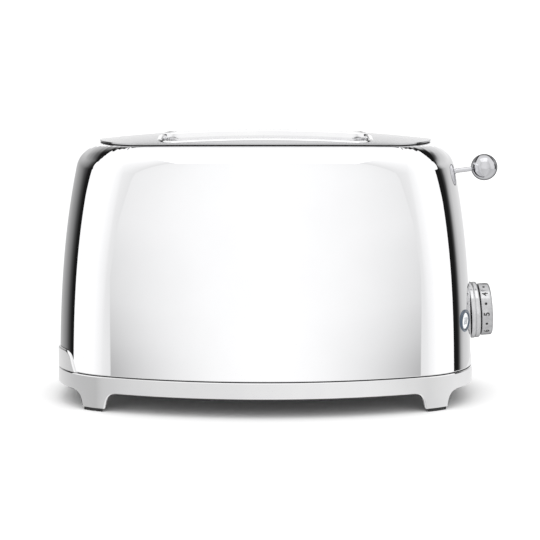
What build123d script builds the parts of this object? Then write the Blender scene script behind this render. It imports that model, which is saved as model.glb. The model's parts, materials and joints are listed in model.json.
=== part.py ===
from build123d import *
import math
import os

# A two-slice toaster in millimetres: X towards the lever end, -Y to the front,
# Z up from the surface it stands on. The model is drawn about the middle of its
# base and then moved in X, so that its whole reach is centred on the origin.

# Plan outline: arcs at the front and back, at the ends and at the corners
front_arc_radius = 310.0
end_arc_radius = 200.0
base_half_width = 155.0
base_half_depth = 97.5
base_corner = 60.0

# Base ring with its four feet
ring_bottom = 13.7
ring_height = 11.8
ring_wall = 3.0
foot_place = 123.0
foot_top_half = 17.0
foot_tip_half = 7.8
foot_depth = 14.0
foot_margin = 1.0
foot_inner_place = 50.0
pad_height = 2.2
pad_margin = 1.0
ring_top = ring_bottom + ring_height

# Base pan that fills the ring and carries the feet
deck_thickness = 3.0
skirt_height = 10.1
skirt_wall = 2.5

# Shell: its sides lean in and then roll in towards the top
shell_wall = 1.0
shell_seam = 0.5
shell_step = 0.6
seam_inset = 0.8
roll_drop = 28.0
end_lean = 2.5
end_roll = 10.6
face_lean = 3.0
face_roll = 10.3
roll_power = 2.5
shoulder_radius = 22.0
loft_steps = 6

# Crowned top plate and its two slots
crown_height = 198.0
crown_radius_x = 1100.0
crown_radius_y = 283.0
plate_end_margin = 31.5
plate_side_margin = 34.5
plate_corner = 50.0
plate_thickness = 1.0
plate_seam = 0.6
plate_seam_width = 4.0
slot_length = 150.0
slot_width = 36.0
slot_spacing = 65.0
slot_corner = 12.0
chute_wall = 0.8
chute_depth = 26.0
lip_width = 2.4
lip_rise = 0.8

# Clearances
running_gap = 0.3
pin_gap = 0.05
opening_gap = 0.4

# Toasting chamber between the two end plates
chamber_half = 83.5
end_plate_wall = 1.0
end_plate_margin = 27.5
end_plate_drop = 30.0
flange_reach = 12.0
flange_wall = 1.5
flange_inner = 50.5
card_offset = 26.0
card_wall = 0.8
card_bottom = 46.0
card_drop = 34.0
reflector_offset = 36.5
reflector_wall = 0.6
reflector_bottom = 40.0
ribbon_wall = 0.3
ribbon_width = 3.0
ribbon_pitch = 11.0
ribbon_half = 70.0
ribbon_bottom = 54.0

# Bread guards: wire cages hinged at the foot, which swing in on the bread
guard_offset = 15.0
guard_wire = 1.0
guard_bottom = 48.0
guard_drop = 40.0
guard_half = 74.0
guard_pitch = 24.0
guard_bars = 7
guard_pin_reach = 2.0

# Lever carriage
rack_drop = 78.0
rack_floor = 46.0
rack_height = 8.0
rack_wall = 1.2
rack_half = 76.0
rib_half = 8.0
rib_wall = 1.5
rib_pitch = 20.0
rib_count = 8
rod_place = 100.0
rod_spacing = 32.0
rod_radius = 2.5
bushing_wall = 3.0
bushing_height = 20.0
yoke_gap = 7.5
yoke_wall = 2.0
yoke_half_depth = 40.0
yoke_drop = 30.0
yoke_height = 60.0
block_wall = 1.5
guide_drop = 22.0
guide_wall = 2.0
guide_gap = 4.0
guide_half_depth = 26.0

# Lever arm and ball, tilted up a little towards the outside
arm_radius = 1.75
arm_tilt = 7.3
arm_socket = 5.0
arm_socket_wall = 2.5
arm_socket_length = 9.0
ball_radius = 9.85
ball_overhang = 9.0
ball_drop = 28.3
ball_bore_depth = 6.0
lever_slot_margin = 0.9
lever_slot_top = 6.5
lever_slot_bottom = 3.5
slot_liner_rim = 1.6
slot_liner_wall = 0.8

# Catch plate, electromagnet and return springs
catch_half = 6.0
catch_place = 104.0
catch_depth_place = -31.0
catch_wall = 2.0
spring_wire = 0.45
spring_radius = 4.6
spring_turns = 11.0

# Browning dial, in its own frame along the tilted axis
dial_inset = 2.0
dial_height = 61.7
dial_tilt = 3.4
bezel_radius = 21.3
bezel_front = 7.0
bezel_back = 0.3
bezel_edge = 1.0
bezel_floor = 1.5
bezel_recess = 1.5
bezel_neck = 16.5
bezel_neck_wall = 1.5
bezel_neck_length = 6.0
dial_radius = 19.5
dial_back = 8.0
dial_thickness = 8.5
dial_edge = 1.5
dial_wall = 1.5
dial_face_radius = 15.5
dial_face_depth = 0.6
dial_recess_gap = 0.5
dial_push = 1.2
shaft_radius = 3.0
shaft_end = 13.0
hub_wall = 2.0
mark_count = 5
mark_pitch = 46.0
mark_first = -63.0
mark_radius = 1.1
mark_depth = 0.4
mark_back = 2.6
bush_wall = 1.0
encoder_radius = 8.0
encoder_length = 11.0
board_gap = 15.0
board_wall = 1.6
board_half_depth = 33.0
board_top = 27.0
clip_wall = 2.0
clip_height = 9.0
clip_half = 5.0
clip_place = 24.0
terminal_size = 12.0
terminal_height = 16.0

# Push buttons on the two corners beside the dial
button_angle = 28.0
button_height = 61.0
button_ring_radius = 8.25
button_ring_wall = 1.9
button_ring_rise = 0.8
button_neck_wall = 1.2
button_cap_rise = 0.5
button_cap_depth = 4.5
button_stroke = 1.5
button_ring_depth = 6.8
switch_half = 6.0
switch_depth = 6.0

# Crumb tray with its arched front at the end away from the lever
tray_half_depth = 46.0
tray_rim = 8.0
tray_wall = 0.8
tray_inner_end = 80.0
tray_front_half = 61.2
tray_front_top_half = 55.5
tray_front_height = 15.0
tray_front_corner = 9.0
tray_front_wall = 3.0
rail_wall = 1.2
rail_lip = 2.0
rail_outer_end = 82.5

# Cable outlet in the back
outlet_place = 60.0
outlet_height = 38.0
outlet_bore = 3.6
outlet_neck = 5.6
outlet_flange = 8.5
outlet_flange_rise = 2.0
outlet_neck_length = 7.0

# Screws that hold the end plates to the base pan
screw_place = 58.0
screw_radius = 2.0
screw_head_radius = 3.8
screw_head_height = 2.6

# Places that follow from the sizes above
deck_top = ring_top
deck_bottom = deck_top - deck_thickness
shell_bottom = ring_top + shell_seam
shell_half_width = base_half_width - shell_step
shell_half_depth = base_half_depth - shell_step
shell_crown = crown_height - plate_thickness - plate_seam
body_height = crown_height - roll_drop - ring_top
plate_half_width = base_half_width - plate_end_margin
plate_half_depth = base_half_depth - plate_side_margin
slot_centre = slot_spacing / 2
end_plate_outer = chamber_half + end_plate_wall
end_plate_half_depth = base_half_depth - end_plate_margin
end_plate_top = crown_height - end_plate_drop
card_top = crown_height - card_drop
ribbon_rows = int((card_top - ribbon_bottom) / ribbon_pitch)
guard_top = crown_height - guard_drop
rack_top = crown_height - rack_drop
lever_travel = rack_top - rack_height - rack_floor
yoke_top = crown_height - yoke_drop
yoke_bottom = yoke_top - yoke_height
ball_place = base_half_width + ball_overhang
ball_height = crown_height - ball_drop
dial_place = base_half_width - dial_inset
yoke_place = end_plate_outer + yoke_gap
block_half = rod_radius + bushing_wall + block_wall
guide_top = crown_height - guide_drop
ball_reach = ball_place + ball_radius
tray_reach = base_half_width
body_place = (tray_reach - ball_reach) / 2
catch_bottom = yoke_bottom
magnet_top = catch_bottom - lever_travel - running_gap
screw_reach = end_plate_outer + flange_reach / 2
far_away = 2 * base_half_width

dial_frame = Plane(
    origin=(dial_place, 0, dial_height),
    x_dir=(0, 1, 0),
    z_dir=(math.cos(math.radians(dial_tilt)), 0, math.sin(math.radians(dial_tilt))),
)


def corner_centre(half_width, half_depth, corner):
    """Centre of the corner arc that touches the front arc and the right end arc."""
    front = Vector(0, front_arc_radius - half_depth)
    side = Vector(half_width - end_arc_radius, 0)
    gap = side - front
    to_front = front_arc_radius - corner
    to_side = end_arc_radius - corner
    along = (to_front**2 - to_side**2 + gap.length**2) / (2 * gap.length)
    across = math.sqrt(to_front**2 - along**2)
    direction = gap.normalized()
    return front + direction * along + Vector(-direction.Y, direction.X) * across


def on_arc(centre, radius, angle):
    return Vector(centre.X + radius * math.cos(angle), centre.Y + radius * math.sin(angle))


def outline(half_width, half_depth, corner, height, inset=0.0):
    """Closed plan outline of eight tangent arcs, moved inwards all round by inset."""
    front = Vector(0, front_arc_radius - half_depth)
    side = Vector(half_width - end_arc_radius, 0)
    centre = corner_centre(half_width, half_depth, corner)
    front_angle = math.atan2(centre.Y - front.Y, centre.X - front.X)
    side_angle = math.atan2(centre.Y - side.Y, centre.X - side.X)
    tip = on_arc(side, end_arc_radius - inset, 0)
    side_end = on_arc(side, end_arc_radius - inset, side_angle)
    bend = on_arc(centre, corner - inset, (front_angle + side_angle) / 2)
    front_end = on_arc(front, front_arc_radius - inset, front_angle)
    middle = on_arc(front, front_arc_radius - inset, -math.pi / 2)
    right_half = [middle, front_end, bend, side_end, tip]
    right_half += [Vector(p.X, -p.Y) for p in reversed(right_half[:-1])]
    left_half = [Vector(-p.X, -p.Y) for p in right_half[1:-1]]
    stops = [Vector(p.X, p.Y, height) for p in right_half + left_half]
    stops = stops[-1:] + stops[:-1]
    arcs = []
    for first in range(0, len(stops), 2):
        last = (first + 2) % len(stops)
        arcs.append(ThreePointArc(stops[first], stops[first + 1], stops[last]))
    return Face(Wire(arcs))


def base_prism(low, high, inset=0.0):
    """Upright block on the outline of the base ring."""
    face = outline(base_half_width, base_half_depth, base_corner, low, inset)
    return extrude(face, high - low, dir=(0, 0, 1))


def box_between(low, high):
    """Block between two opposite corners."""
    size = Vector(*high) - Vector(*low)
    middle = (Vector(*high) + Vector(*low)) * 0.5
    return Pos(*middle) * Box(size.X, size.Y, size.Z)


def rod_between(start, end, radius):
    """Round rod from one point to another."""
    path = Vector(*end) - Vector(*start)
    return extrude(Plane(origin=start, z_dir=path) * Circle(radius), path.length)


def mirrored(shape, plane=Plane.XZ):
    return mirror(shape, about=plane)


# Shell

def shell_half_size(height):
    """Half width and half depth of the shell at a height."""
    rise = (height - ring_top) / body_height
    roll = max(rise, 0) ** roll_power
    half_width = shell_half_width - end_lean * rise - end_roll * roll
    half_depth = shell_half_depth - face_lean * rise - face_roll * roll
    return half_width, half_depth


def crown_body(top):
    """Everything below a surface crowned both ways, with its summit at top."""
    edge = base_half_depth + shoulder_radius
    drop = crown_radius_y - math.sqrt(crown_radius_y**2 - edge**2)
    arc = ThreePointArc((0, -edge, top - drop), (0, 0, top), (0, edge, top - drop))
    sides = Polyline((0, edge, top - drop), (0, edge, 0), (0, -edge, 0), (0, -edge, top - drop))
    turn = math.degrees(2 * math.asin((base_half_width + shoulder_radius) / crown_radius_x))
    axis = Axis((0, 0, top - crown_radius_x), (0, 1, 0))
    return revolve(Face(Wire([arc] + sides.edges())), axis, turn).rotate(axis, -turn / 2)


def shell_body(inset, bottom):
    """Solid shell form, moved inwards all round by inset."""
    layers = []
    for step in range(loft_steps + 1):
        height = bottom + (crown_height + plate_thickness - bottom) * step / loft_steps
        half_width, half_depth = shell_half_size(height)
        layers.append(outline(half_width, half_depth, base_corner, height, inset))
    body = loft(layers) & crown_body(shell_crown - inset)
    top = body.faces().sort_by(Axis.Z)[-1]
    return fillet(top.edges(), shoulder_radius - inset)


def slot_face(grow):
    """Plan of one bread slot about its centre, grown all round."""
    length = slot_length + 2 * grow
    width = slot_width + 2 * grow
    return RectangleRounded(length, width, slot_corner + grow)


def slot_prisms(grow, low, high):
    """Upright blocks on both bread slots."""
    face = Pos(0, 0, low) * slot_face(grow)
    block = extrude(face, high - low)
    return [Pos(0, side * slot_centre, 0) * block for side in (-1, 1)]


def lever_slot_ends():
    """Heights at which the lever's slot in the shell ends."""
    inside = shell_half_size(ball_height)[0]
    arm_height = arm_point(inside).Z
    bottom = arm_height - lever_travel - arm_radius - lever_slot_bottom
    return bottom, arm_height + arm_radius + lever_slot_top


def arm_point(reach):
    """Point on the centre line of the lever arm at a distance X from the middle."""
    return Vector(reach, 0, ball_height - (ball_place - reach) * math.tan(math.radians(arm_tilt)))


def lever_slot_block(grow):
    """Block through the end of the shell on the lever's slot."""
    half = arm_radius + lever_slot_margin + grow
    bottom, top = lever_slot_ends()
    profile = RectangleRounded(2 * half, top - bottom + 2 * grow, half * 0.98)
    placed = Plane(origin=(rod_place + block_half, 0, (bottom + top) / 2), x_dir=(0, 1, 0), z_dir=(1, 0, 0))
    return extrude(placed * profile, base_half_width - rod_place)


def tray_front_profile(grow):
    """Arched outline of the tray's front, standing on the ring."""
    low = tray_bottom - grow
    high = tray_bottom + tray_front_height + grow
    foot = tray_front_half + grow
    head = tray_front_top_half + grow
    points = [(-foot, low), (foot, low), (head, high), (-head, high)]
    face = make_face(Polyline(*points, close=True))
    top = face.vertices().sort_by(Axis.Y)[-2:]
    return fillet(top, tray_front_corner + grow)


def tray_front_block(grow, depth):
    """The arched outline carried in from beyond the end of the base."""
    placed = Plane(origin=(-far_away, 0, 0), x_dir=(0, 1, 0), z_dir=(1, 0, 0))
    return extrude(placed * tray_front_profile(grow), far_away - base_half_width + depth)


def outer_shell():
    shell = shell_body(0, shell_bottom) - shell_body(shell_wall, shell_bottom - shell_wall)
    shell -= slot_prisms(chute_wall + 2 * lip_width, yoke_top, crown_height + lip_width)
    shell -= lever_slot_block(slot_liner_wall)
    shell -= dial_frame * Pos(0, 0, -dial_radius) * Cylinder(bezel_neck + running_gap, 4 * dial_radius)
    for side in (-1, 1):
        hole = Cylinder(button_neck_radius + running_gap, 4 * button_ring_radius)
        shell -= button_frame(side) * hole
    shell -= tray_front_block(opening_gap, base_corner)
    shell -= outlet_frame() * Cylinder(outlet_neck + running_gap, 4 * outlet_flange)
    return shell


def shell_gasket():
    outer = base_prism(ring_top, shell_bottom, seam_inset)
    inner = base_prism(ring_top, shell_bottom, ring_wall)
    return outer - inner - tray_front_block(opening_gap + shell_seam, base_corner)


# Top plate and slots

def plate_prism(inset, low, high):
    face = outline(plate_half_width, plate_half_depth, plate_corner, low, inset)
    return extrude(face, high - low, dir=(0, 0, 1))


def crown_layer(low, high):
    """Sheet between two crowned surfaces."""
    return crown_body(high) - crown_body(low)


def top_plate():
    plate = crown_layer(crown_height - plate_thickness, crown_height)
    plate &= plate_prism(0, yoke_top, crown_height + plate_thickness)
    return plate - slot_prisms(chute_wall, yoke_top, crown_height + plate_thickness)


def plate_gasket():
    seam = crown_layer(shell_crown, crown_height - plate_thickness)
    seam &= plate_prism(seam_inset, yoke_top, crown_height)
    return seam - plate_prism(seam_inset + plate_seam_width, yoke_top, crown_height)


def slot_chute(side):
    """Sheet wall round one slot, with its lip rolled over the top plate."""
    index = 0 if side < 0 else 1
    low = crown_height - chute_depth
    high = crown_height + 2 * lip_rise
    inner = slot_prisms(0, low - 1, high + 1)[index]
    wall = slot_prisms(chute_wall, low, high)[index] & crown_body(crown_height + lip_rise)
    lip = slot_prisms(chute_wall + lip_width, low, high)[index]
    lip &= crown_layer(crown_height, crown_height + lip_rise)
    return wall + lip - inner


# Base

def foot_profile(side, grow=0.0):
    """Front view of one foot, with its flanks curved in towards the floor."""
    centre = side * foot_place
    top = foot_top_half + grow
    tip = foot_tip_half + grow
    high = ring_bottom
    low = pad_height
    middle = (high + low) / 2
    right = Bezier((top, high), (tip + 2, high), (tip + 1, middle), (tip, low))
    left = Bezier((-tip, low), (-tip - 1, middle), (-tip - 2, high), (-top, high))
    edges = [right, Line((tip, low), (-tip, low)), left, Line((-top, high), (top, high))]
    placed = Plane(origin=(centre, 0, 0), x_dir=(1, 0, 0), z_dir=(0, -1, 0))
    return placed * make_face(edges)


def base_ring():
    """Ring with four thin legs, which face the feet of the base pan."""
    ring = base_prism(ring_bottom, ring_top) - base_prism(ring_bottom, ring_top, ring_wall)
    band = base_prism(pad_height, ring_bottom) - base_prism(pad_height, ring_bottom, ring_wall)
    for side in (-1, 1):
        ring += band & extrude(foot_profile(side), far_away, both=True)
    return ring


def foot_pads():
    band = base_prism(0, pad_height, pad_margin)
    band -= base_prism(0, pad_height, foot_depth - pad_margin)
    pads = []
    for side in (-1, 1):
        half = foot_tip_half - pad_margin
        middle = side * foot_place
        block = box_between((middle - half, -far_away, 0), (middle + half, far_away, pad_height))
        pads += (band & block).solids()
    return pads


def base_pan():
    pan = base_prism(deck_bottom, deck_top, ring_wall)
    skirt_bottom = deck_bottom - skirt_height
    skirt = base_prism(skirt_bottom, deck_bottom, ring_wall)
    skirt -= base_prism(skirt_bottom, deck_bottom, ring_wall + skirt_wall)
    pan += skirt
    band = base_prism(pad_height, deck_bottom, ring_wall) - base_prism(pad_height, deck_bottom, foot_depth)
    band -= box_between((-far_away, -foot_inner_place, 0), (far_away, foot_inner_place, deck_top))
    for side in (-1, 1):
        middle = side * foot_place
        half = foot_top_half + foot_margin
        block = box_between((middle - half, -far_away, ring_bottom), (middle + half, far_away, deck_bottom))
        pan += band & (block + extrude(foot_profile(side, foot_margin), far_away, both=True))
    for place in screw_places():
        pan -= Pos(*place, deck_bottom) * Cylinder(screw_radius + pin_gap, 4 * deck_thickness)
    return pan


def screw_places():
    return [(end * screw_reach, side * screw_place) for end in (-1, 1) for side in (-1, 1)]


def base_screws():
    screws = []
    length = deck_thickness + flange_wall
    for x, y in screw_places():
        head = Pos(x, y, deck_bottom - screw_head_height / 2) * Cylinder(screw_head_radius, screw_head_height)
        shank = Pos(x, y, deck_bottom + length / 2) * Cylinder(screw_radius, length)
        screws.append(head + shank)
    return screws


# Toasting chamber

def end_plate(end):
    """Upright plate at one end of the chamber, with a foot flange at each side."""
    low = deck_top
    inner = chamber_half
    outer = end_plate_outer
    half = end_plate_half_depth
    plate = box_between((inner, -half, low), (outer, half, end_plate_top))
    for side in (-1, 1):
        near, far = sorted((side * flange_inner, side * half))
        plate += box_between((outer, near, low), (outer + flange_reach, far, low + flange_wall))
        for offset in (-guard_offset, guard_offset):
            place = (inner, side * slot_centre + offset, guard_bottom)
            plate -= Pos(*place) * Rot(0, 90, 0) * Cylinder(guard_wire + pin_gap, 4 * end_plate_wall)
    for x, y in screw_places():
        plate -= Pos(x, y, low) * Cylinder(screw_radius + pin_gap, 4 * flange_wall)
    if end < 0:
        plate = mirrored(plate, Plane.YZ)
        half = tray_half_depth + 2 * running_gap
        high = tray_bottom + tray_rim + 2 * running_gap
        return plate - box_between((-2 * outer, -half, low), (0, half, high))
    for side in (-1, 1):
        middle = side * slot_centre
        half = rack_wall / 2 + 2 * running_gap
        bottom = rack_top - rack_height - lever_travel - 2 * running_gap
        top = rack_top + 2 * running_gap
        plate -= box_between((0, middle - half, bottom), (2 * outer, middle + half, top))
    return plate


def heater_places():
    """Y of each heater card and the way its ribbon faces."""
    return [
        (side * slot_centre + way * card_offset, -way) for side in (-1, 1) for way in (-1, 1)
    ]


def heater_card(y):
    half = card_wall / 2
    low = (-chamber_half, y - half, card_bottom)
    return box_between(low, (chamber_half, y + half, card_top))


def heater_ribbon(y, way):
    """One unbroken flat ribbon that runs to and fro up the face of its card."""
    near = y + way * card_wall / 2
    far = near + way * ribbon_wall
    low_y, high_y = sorted((near, far))
    ribbon = None
    for row in range(ribbon_rows):
        z = ribbon_bottom + row * ribbon_pitch
        run = box_between((-ribbon_half, low_y, z), (ribbon_half, high_y, z + ribbon_width))
        ribbon = run if ribbon is None else ribbon + run
        if row + 1 < ribbon_rows:
            end = ribbon_half if row % 2 == 0 else -ribbon_half
            inner = end - math.copysign(ribbon_width, end)
            low_x, high_x = sorted((end, inner))
            ribbon += box_between((low_x, low_y, z), (high_x, high_y, z + ribbon_pitch))
    return ribbon


def reflector(side):
    inner = slot_centre + reflector_offset
    near, far = sorted((side * inner, side * (inner + reflector_wall)))
    low = (-chamber_half, near, reflector_bottom)
    return box_between(low, (chamber_half, far, end_plate_top))


def bread_guard(y):
    """Wire cage: a hinge wire through both end plates, a top wire and upright bars."""
    reach = end_plate_outer + guard_pin_reach
    high = guard_top
    cage = rod_between((-reach, y, guard_bottom), (reach, y, guard_bottom), guard_wire)
    cage += rod_between((-guard_half, y, high), (guard_half, y, high), guard_wire)
    for bar in range(guard_bars):
        x = (bar - (guard_bars - 1) / 2) * guard_pitch
        cage += rod_between((x, y, guard_bottom), (x, y, high), guard_wire)
    return cage


# Lever carriage

def bread_rack(side):
    """Rack under one slice: a thin bar with ribs across it."""
    y = side * slot_centre
    half = rack_wall / 2
    low = rack_top - rack_height
    rack = box_between((-rack_half, y - half, low), (yoke_place, y + half, rack_top))
    for rib in range(rib_count):
        x = (rib - (rib_count - 1) / 2) * rib_pitch
        half = rib_wall / 2
        rack += box_between((x - half, y - rib_half, rack_top - rib_wall), (x + half, y + rib_half, rack_top))
    return rack


def rod_places():
    return [side * rod_spacing / 2 for side in (-1, 1)]


def carriage_yoke():
    """Plate that carries both racks, the lever arm and the two bushings."""
    back = yoke_place
    front = yoke_place + yoke_wall
    yoke = box_between((back, -yoke_half_depth, yoke_bottom), (front, yoke_half_depth, yoke_top))
    low = block_bottom()
    for y in rod_places():
        block = box_between(
            (front, y - block_half, low), (rod_place + block_half, y + block_half, low + bushing_height)
        )
        bore = Pos(rod_place, y, low) * Cylinder(rod_radius + bushing_wall, 4 * bushing_height)
        yoke += block - bore
    start = arm_point(front)
    path = arm_point(ball_place) - start
    socket = Plane(origin=start, z_dir=path)
    yoke += extrude(socket * Circle(arm_radius + arm_socket_wall), arm_socket_length)
    yoke += extrude(socket * Circle(arm_radius + arm_socket_wall), -yoke_wall / 2)
    return yoke - extrude(socket * Circle(arm_radius), far_away)


def block_bottom():
    return yoke_bottom + catch_wall


def carriage_bushings():
    tube = Cylinder(rod_radius + bushing_wall, bushing_height) - Cylinder(rod_radius + pin_gap, bushing_height)
    height = block_bottom() + bushing_height / 2
    return [Pos(rod_place, y, height) * tube for y in rod_places()]


def lever_arm():
    start = arm_point(yoke_place + yoke_wall)
    path = arm_point(ball_place) - start
    return extrude(Plane(origin=start, z_dir=path) * Circle(arm_radius), path.length - ball_radius + ball_bore_depth)


def lever_ball():
    centre = Vector(ball_place, 0, ball_height)
    ball = Pos(*centre) * Sphere(ball_radius)
    path = centre - arm_point(0)
    depth = ball_radius - ball_bore_depth
    bore = Plane(origin=centre - path.normalized() * depth, z_dir=path * -1) * Circle(arm_radius)
    return ball - extrude(bore, ball_radius)


def catch_plate():
    low = (yoke_place + yoke_wall, catch_depth_place - catch_half, catch_bottom)
    high = (catch_place + catch_half, catch_depth_place + catch_half, catch_bottom + catch_wall)
    return box_between(low, high)


def electromagnet():
    """Magnet that holds the catch plate down, on a foot that stands on the deck."""
    core = box_between(
        (catch_place - catch_half, catch_depth_place - catch_half / 2, deck_top),
        (catch_place + catch_half, catch_depth_place + catch_half / 2, magnet_top),
    )
    coil = box_between(
        (catch_place - catch_half, catch_depth_place - catch_half, deck_top),
        (catch_place + catch_half, catch_depth_place + catch_half, (deck_top + magnet_top) / 2),
    )
    return core + coil


def guide_rods():
    return [rod_between((rod_place, y, deck_top), (rod_place, y, guide_top), rod_radius) for y in rod_places()]


def guide_bracket():
    """Angle on the end plate that holds the tops of the two guide rods."""
    half = guide_half_depth
    back = end_plate_outer
    foot = yoke_top - guide_drop
    bracket = box_between((back, -half, foot), (back + guide_wall, half, guide_top))
    reach = rod_place + block_half
    bracket += box_between((back, -half, yoke_top + guide_gap), (reach, half, guide_top))
    for y in rod_places():
        bracket -= Pos(rod_place, y, guide_top) * Cylinder(rod_radius, 4 * guide_drop)
    return bracket


def return_springs():
    """Two open springs round the guide rods, which push the carriage up."""
    low = deck_top + 2 * spring_wire
    height = block_bottom() - 2 * spring_wire - low
    coil = Helix(pitch=height / spring_turns, height=height, radius=spring_radius)
    wire = sweep(Plane(origin=coil @ 0, z_dir=coil % 0) * Circle(spring_wire), path=coil)
    return [Pos(rod_place, y, low) * wire for y in rod_places()]


def lever_slot_liner():
    """Dark liner in the lever's slot, with a rim inside the shell."""
    outer = shell_body(shell_wall, shell_bottom) - shell_body(shell_wall + slot_liner_wall, shell_bottom - 1)
    rim = outer & lever_slot_block(slot_liner_wall + slot_liner_rim)
    skin = shell_body(slot_liner_wall / 4, shell_bottom) - shell_body(shell_wall + slot_liner_wall, shell_bottom - 1)
    return rim + (skin & lever_slot_block(slot_liner_wall)) - lever_slot_block(0)


# Browning dial

def turned(points_and_arcs):
    """Solid of revolution about the dial's axis from a closed profile in X and Z."""
    face = make_face(points_and_arcs)
    return dial_frame * revolve(face, Axis.Z)


def dial_bezel():
    edge = bezel_radius - bezel_edge
    recess = dial_radius + dial_recess_gap
    floor_front = bezel_front - bezel_recess
    floor_back = floor_front - bezel_floor
    waist = (bezel_back + bezel_front) / 2
    bore = bezel_neck - bezel_neck_wall
    eye = shaft_radius + 2 * hub_wall
    back_bore = bezel_neck - running_gap
    profile = [
        ThreePointArc((edge, 0, bezel_back), (bezel_radius, 0, waist), (edge, 0, bezel_front)),
        Line((edge, 0, bezel_front), (recess, 0, bezel_front)),
        Line((recess, 0, bezel_front), (recess, 0, floor_front)),
        Line((recess, 0, floor_front), (eye, 0, floor_front)),
        Line((eye, 0, floor_front), (eye, 0, floor_back)),
        Line((eye, 0, floor_back), (bore, 0, floor_back)),
        Line((bore, 0, floor_back), (bore, 0, -bezel_neck_length)),
        Line((bore, 0, -bezel_neck_length), (back_bore, 0, -bezel_neck_length)),
        Line((back_bore, 0, -bezel_neck_length), (back_bore, 0, bezel_back)),
        Line((back_bore, 0, bezel_back), (edge, 0, bezel_back)),
    ]
    return turned(profile)


def dial_shell():
    """Drum of the dial: rim, front and a hub that the shaft is pressed into."""
    back = dial_back
    front = dial_back + dial_thickness
    drum = Pos(0, 0, (back + front) / 2) * Cylinder(dial_radius, dial_thickness)
    drum = fillet(drum.edges().sort_by(Axis.Z)[-1:], dial_edge)
    hollow = dial_thickness - dial_wall - dial_face_depth
    cavity = Cylinder(dial_radius - dial_wall, hollow) - Cylinder(shaft_radius + hub_wall, hollow)
    drum -= Pos(0, 0, back + hollow / 2) * cavity
    drum -= Pos(0, 0, front - dial_face_depth / 2) * Cylinder(dial_face_radius, dial_face_depth)
    drum -= Pos(0, 0, back + hollow / 2) * Cylinder(shaft_radius, hollow)
    return dial_frame * drum - dial_marks()


def dial_face():
    front = dial_back + dial_thickness
    return dial_frame * Pos(0, 0, front - dial_face_depth / 2) * Cylinder(dial_face_radius, dial_face_depth)


def dial_shaft():
    front = dial_back + dial_thickness - dial_wall - dial_face_depth
    length = front + shaft_end
    return dial_frame * Pos(0, 0, front - length / 2) * Cylinder(shaft_radius, length)


def dial_marks():
    """Round marks let into the rim, between the places of the numerals."""
    marks = []
    middle = dial_back + mark_back
    rim = Cylinder(dial_radius, dial_thickness) - Cylinder(dial_radius - mark_depth, dial_thickness)
    rim = Pos(0, 0, dial_back + dial_thickness / 2) * rim
    for index in range(mark_count):
        angle = mark_first + index * mark_pitch
        pin = Rot(0, 0, angle) * Pos(dial_radius, 0, middle) * Rot(0, 90, 0) * Cylinder(mark_radius, 4 * mark_radius)
        marks += (dial_frame * (rim & pin)).solids()
    return marks


def encoder_bush():
    """Bush inside the encoder, which turns with the dial."""
    length = encoder_length - 2 * running_gap
    middle = encoder_length / 2 - board_gap
    tube = Cylinder(shaft_radius + bush_wall, length) - Cylinder(shaft_radius + pin_gap, length)
    return dial_frame * Pos(0, 0, middle) * tube


def encoder_body():
    middle = encoder_length / 2 - board_gap
    body = Cylinder(encoder_radius, encoder_length)
    body -= Cylinder(shaft_radius + bush_wall + pin_gap, encoder_length)
    return dial_frame * Pos(0, 0, middle) * body


def control_board():
    """Upright board behind the dial, tilted with it, with its foot in two clips."""
    front = -board_gap
    back = front - board_wall
    low = -dial_height
    block = box_between((-board_half_depth, low, back), (board_half_depth, board_top, front))
    board = dial_frame * block
    return board & box_between((0, -far_away, deck_top + running_gap), (far_away, far_away, far_away))


def board_clips():
    """Two clips on the deck, each with a groove for the foot of the board."""
    foot = dial_frame.origin - dial_frame.z_dir * (board_gap + board_wall / 2)
    foot += dial_frame.y_dir * (deck_top - foot.Z)
    half = 2 * clip_wall
    groove = dial_frame * box_between(
        (-far_away, -dial_height, -board_gap - board_wall - running_gap),
        (far_away, board_top, running_gap - board_gap),
    )
    clips = []
    for side in (-1, 1):
        y = side * clip_place
        low = (foot.X - half, y - clip_half, deck_top)
        clips.append(box_between(low, (foot.X + half, y + clip_half, deck_top + clip_height)) - groove)
    return [solid for clip in clips for solid in clip.solids()]


def terminal_block():
    back = -board_gap - board_wall
    low = deck_top - dial_height + clip_height + clip_wall
    block = box_between((-terminal_size, low, back - terminal_size), (terminal_size, low + terminal_height, back))
    return dial_frame * block


# Push buttons

button_neck_radius = button_ring_radius - button_neck_wall


def button_frame(side):
    """Frame on the shell's corner at one button, with its Z square to the surface."""
    half_width, half_depth = shell_half_size(button_height)
    centre = corner_centre(half_width, half_depth, base_corner)
    angle = math.radians(-button_angle)
    spot = on_arc(centre, base_corner, angle)
    outward = (math.cos(angle), -side * math.sin(angle), 0)
    across = (side * math.sin(angle), math.cos(angle), 0)
    return Plane(origin=(spot.X, -side * spot.Y, button_height), x_dir=across, z_dir=outward)


def button_ring(side):
    """Lit ring round a button, with a neck that reaches in through the shell."""
    bore = button_ring_radius - button_ring_wall
    rim = Pos(0, 0, button_ring_rise / 2) * Cylinder(button_ring_radius, button_ring_rise)
    skirt = Pos(0, 0, -button_neck_radius / 4) * Cylinder(button_ring_radius, button_neck_radius / 2)
    neck = Pos(0, 0, -button_ring_depth / 2) * Cylinder(button_neck_radius, button_ring_depth)
    hole = Cylinder(bore, 4 * button_ring_depth)
    ring = button_frame(side) * (rim + skirt - hole) - shell_body(0, shell_bottom)
    return ring + button_frame(side) * (neck - hole)


def button_cap(side):
    radius = button_ring_radius - button_ring_wall - running_gap
    middle = (button_cap_rise - button_cap_depth) / 2
    cap = Pos(0, 0, middle) * Cylinder(radius, button_cap_rise + button_cap_depth)
    return button_frame(side) * cap


def button_switch(side):
    middle = -button_ring_depth - switch_depth / 2
    return button_frame(side) * Pos(0, 0, middle) * Box(2 * switch_half, 2 * switch_half, switch_depth)


# Crumb tray

tray_bottom = ring_top + running_gap


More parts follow.
